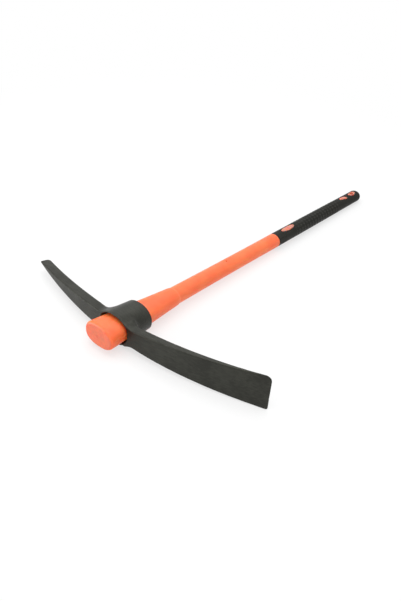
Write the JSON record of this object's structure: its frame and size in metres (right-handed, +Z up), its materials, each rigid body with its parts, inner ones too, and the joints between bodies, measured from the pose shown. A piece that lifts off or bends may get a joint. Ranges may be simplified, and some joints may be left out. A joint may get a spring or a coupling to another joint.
{
  "type": "pick mattock",
  "caption": "Two-handed digging tool: a forged head with an oval eye, a chisel-ended pick arm and an adze arm, slipped onto a plastic-jacketed handle with a soft grip and a hang hole.",
  "frame": {"origin": "centre of the bounding box's underside, on the ground that the tool lies on", "axes": "+X along the handle from the knob to the butt, +Y from the adze to the pick, +Z up from the ground; the handle is tilted by about a degree because the tool rests on the adze, the eye and the butt"},
  "size_m": [0.9002, 0.6057, 0.0782],
  "materials": {
    "head_paint": "dark grey satin paint on forged steel",
    "jacket_plastic": "bright orange satin moulding",
    "core_fibreglass": "pultruded glass fibre rod, unpainted",
    "grip_rubber": "black soft moulding, smooth ends and a textured middle"
  },
  "bodies": {
    "handle": {"handle_jacket": "jacket_plastic", "fibreglass_core": "core_fibreglass", "grip_sleeve": "grip_rubber"},
    "head": {"pick_head": "head_paint"}
  },
  "joints": [
    {"name": "head_slide", "type": "slide", "parent": "handle", "child": "head", "axis": [0.9997, 0, -0.0229], "range_m": [0, 0.868]}
  ]
}
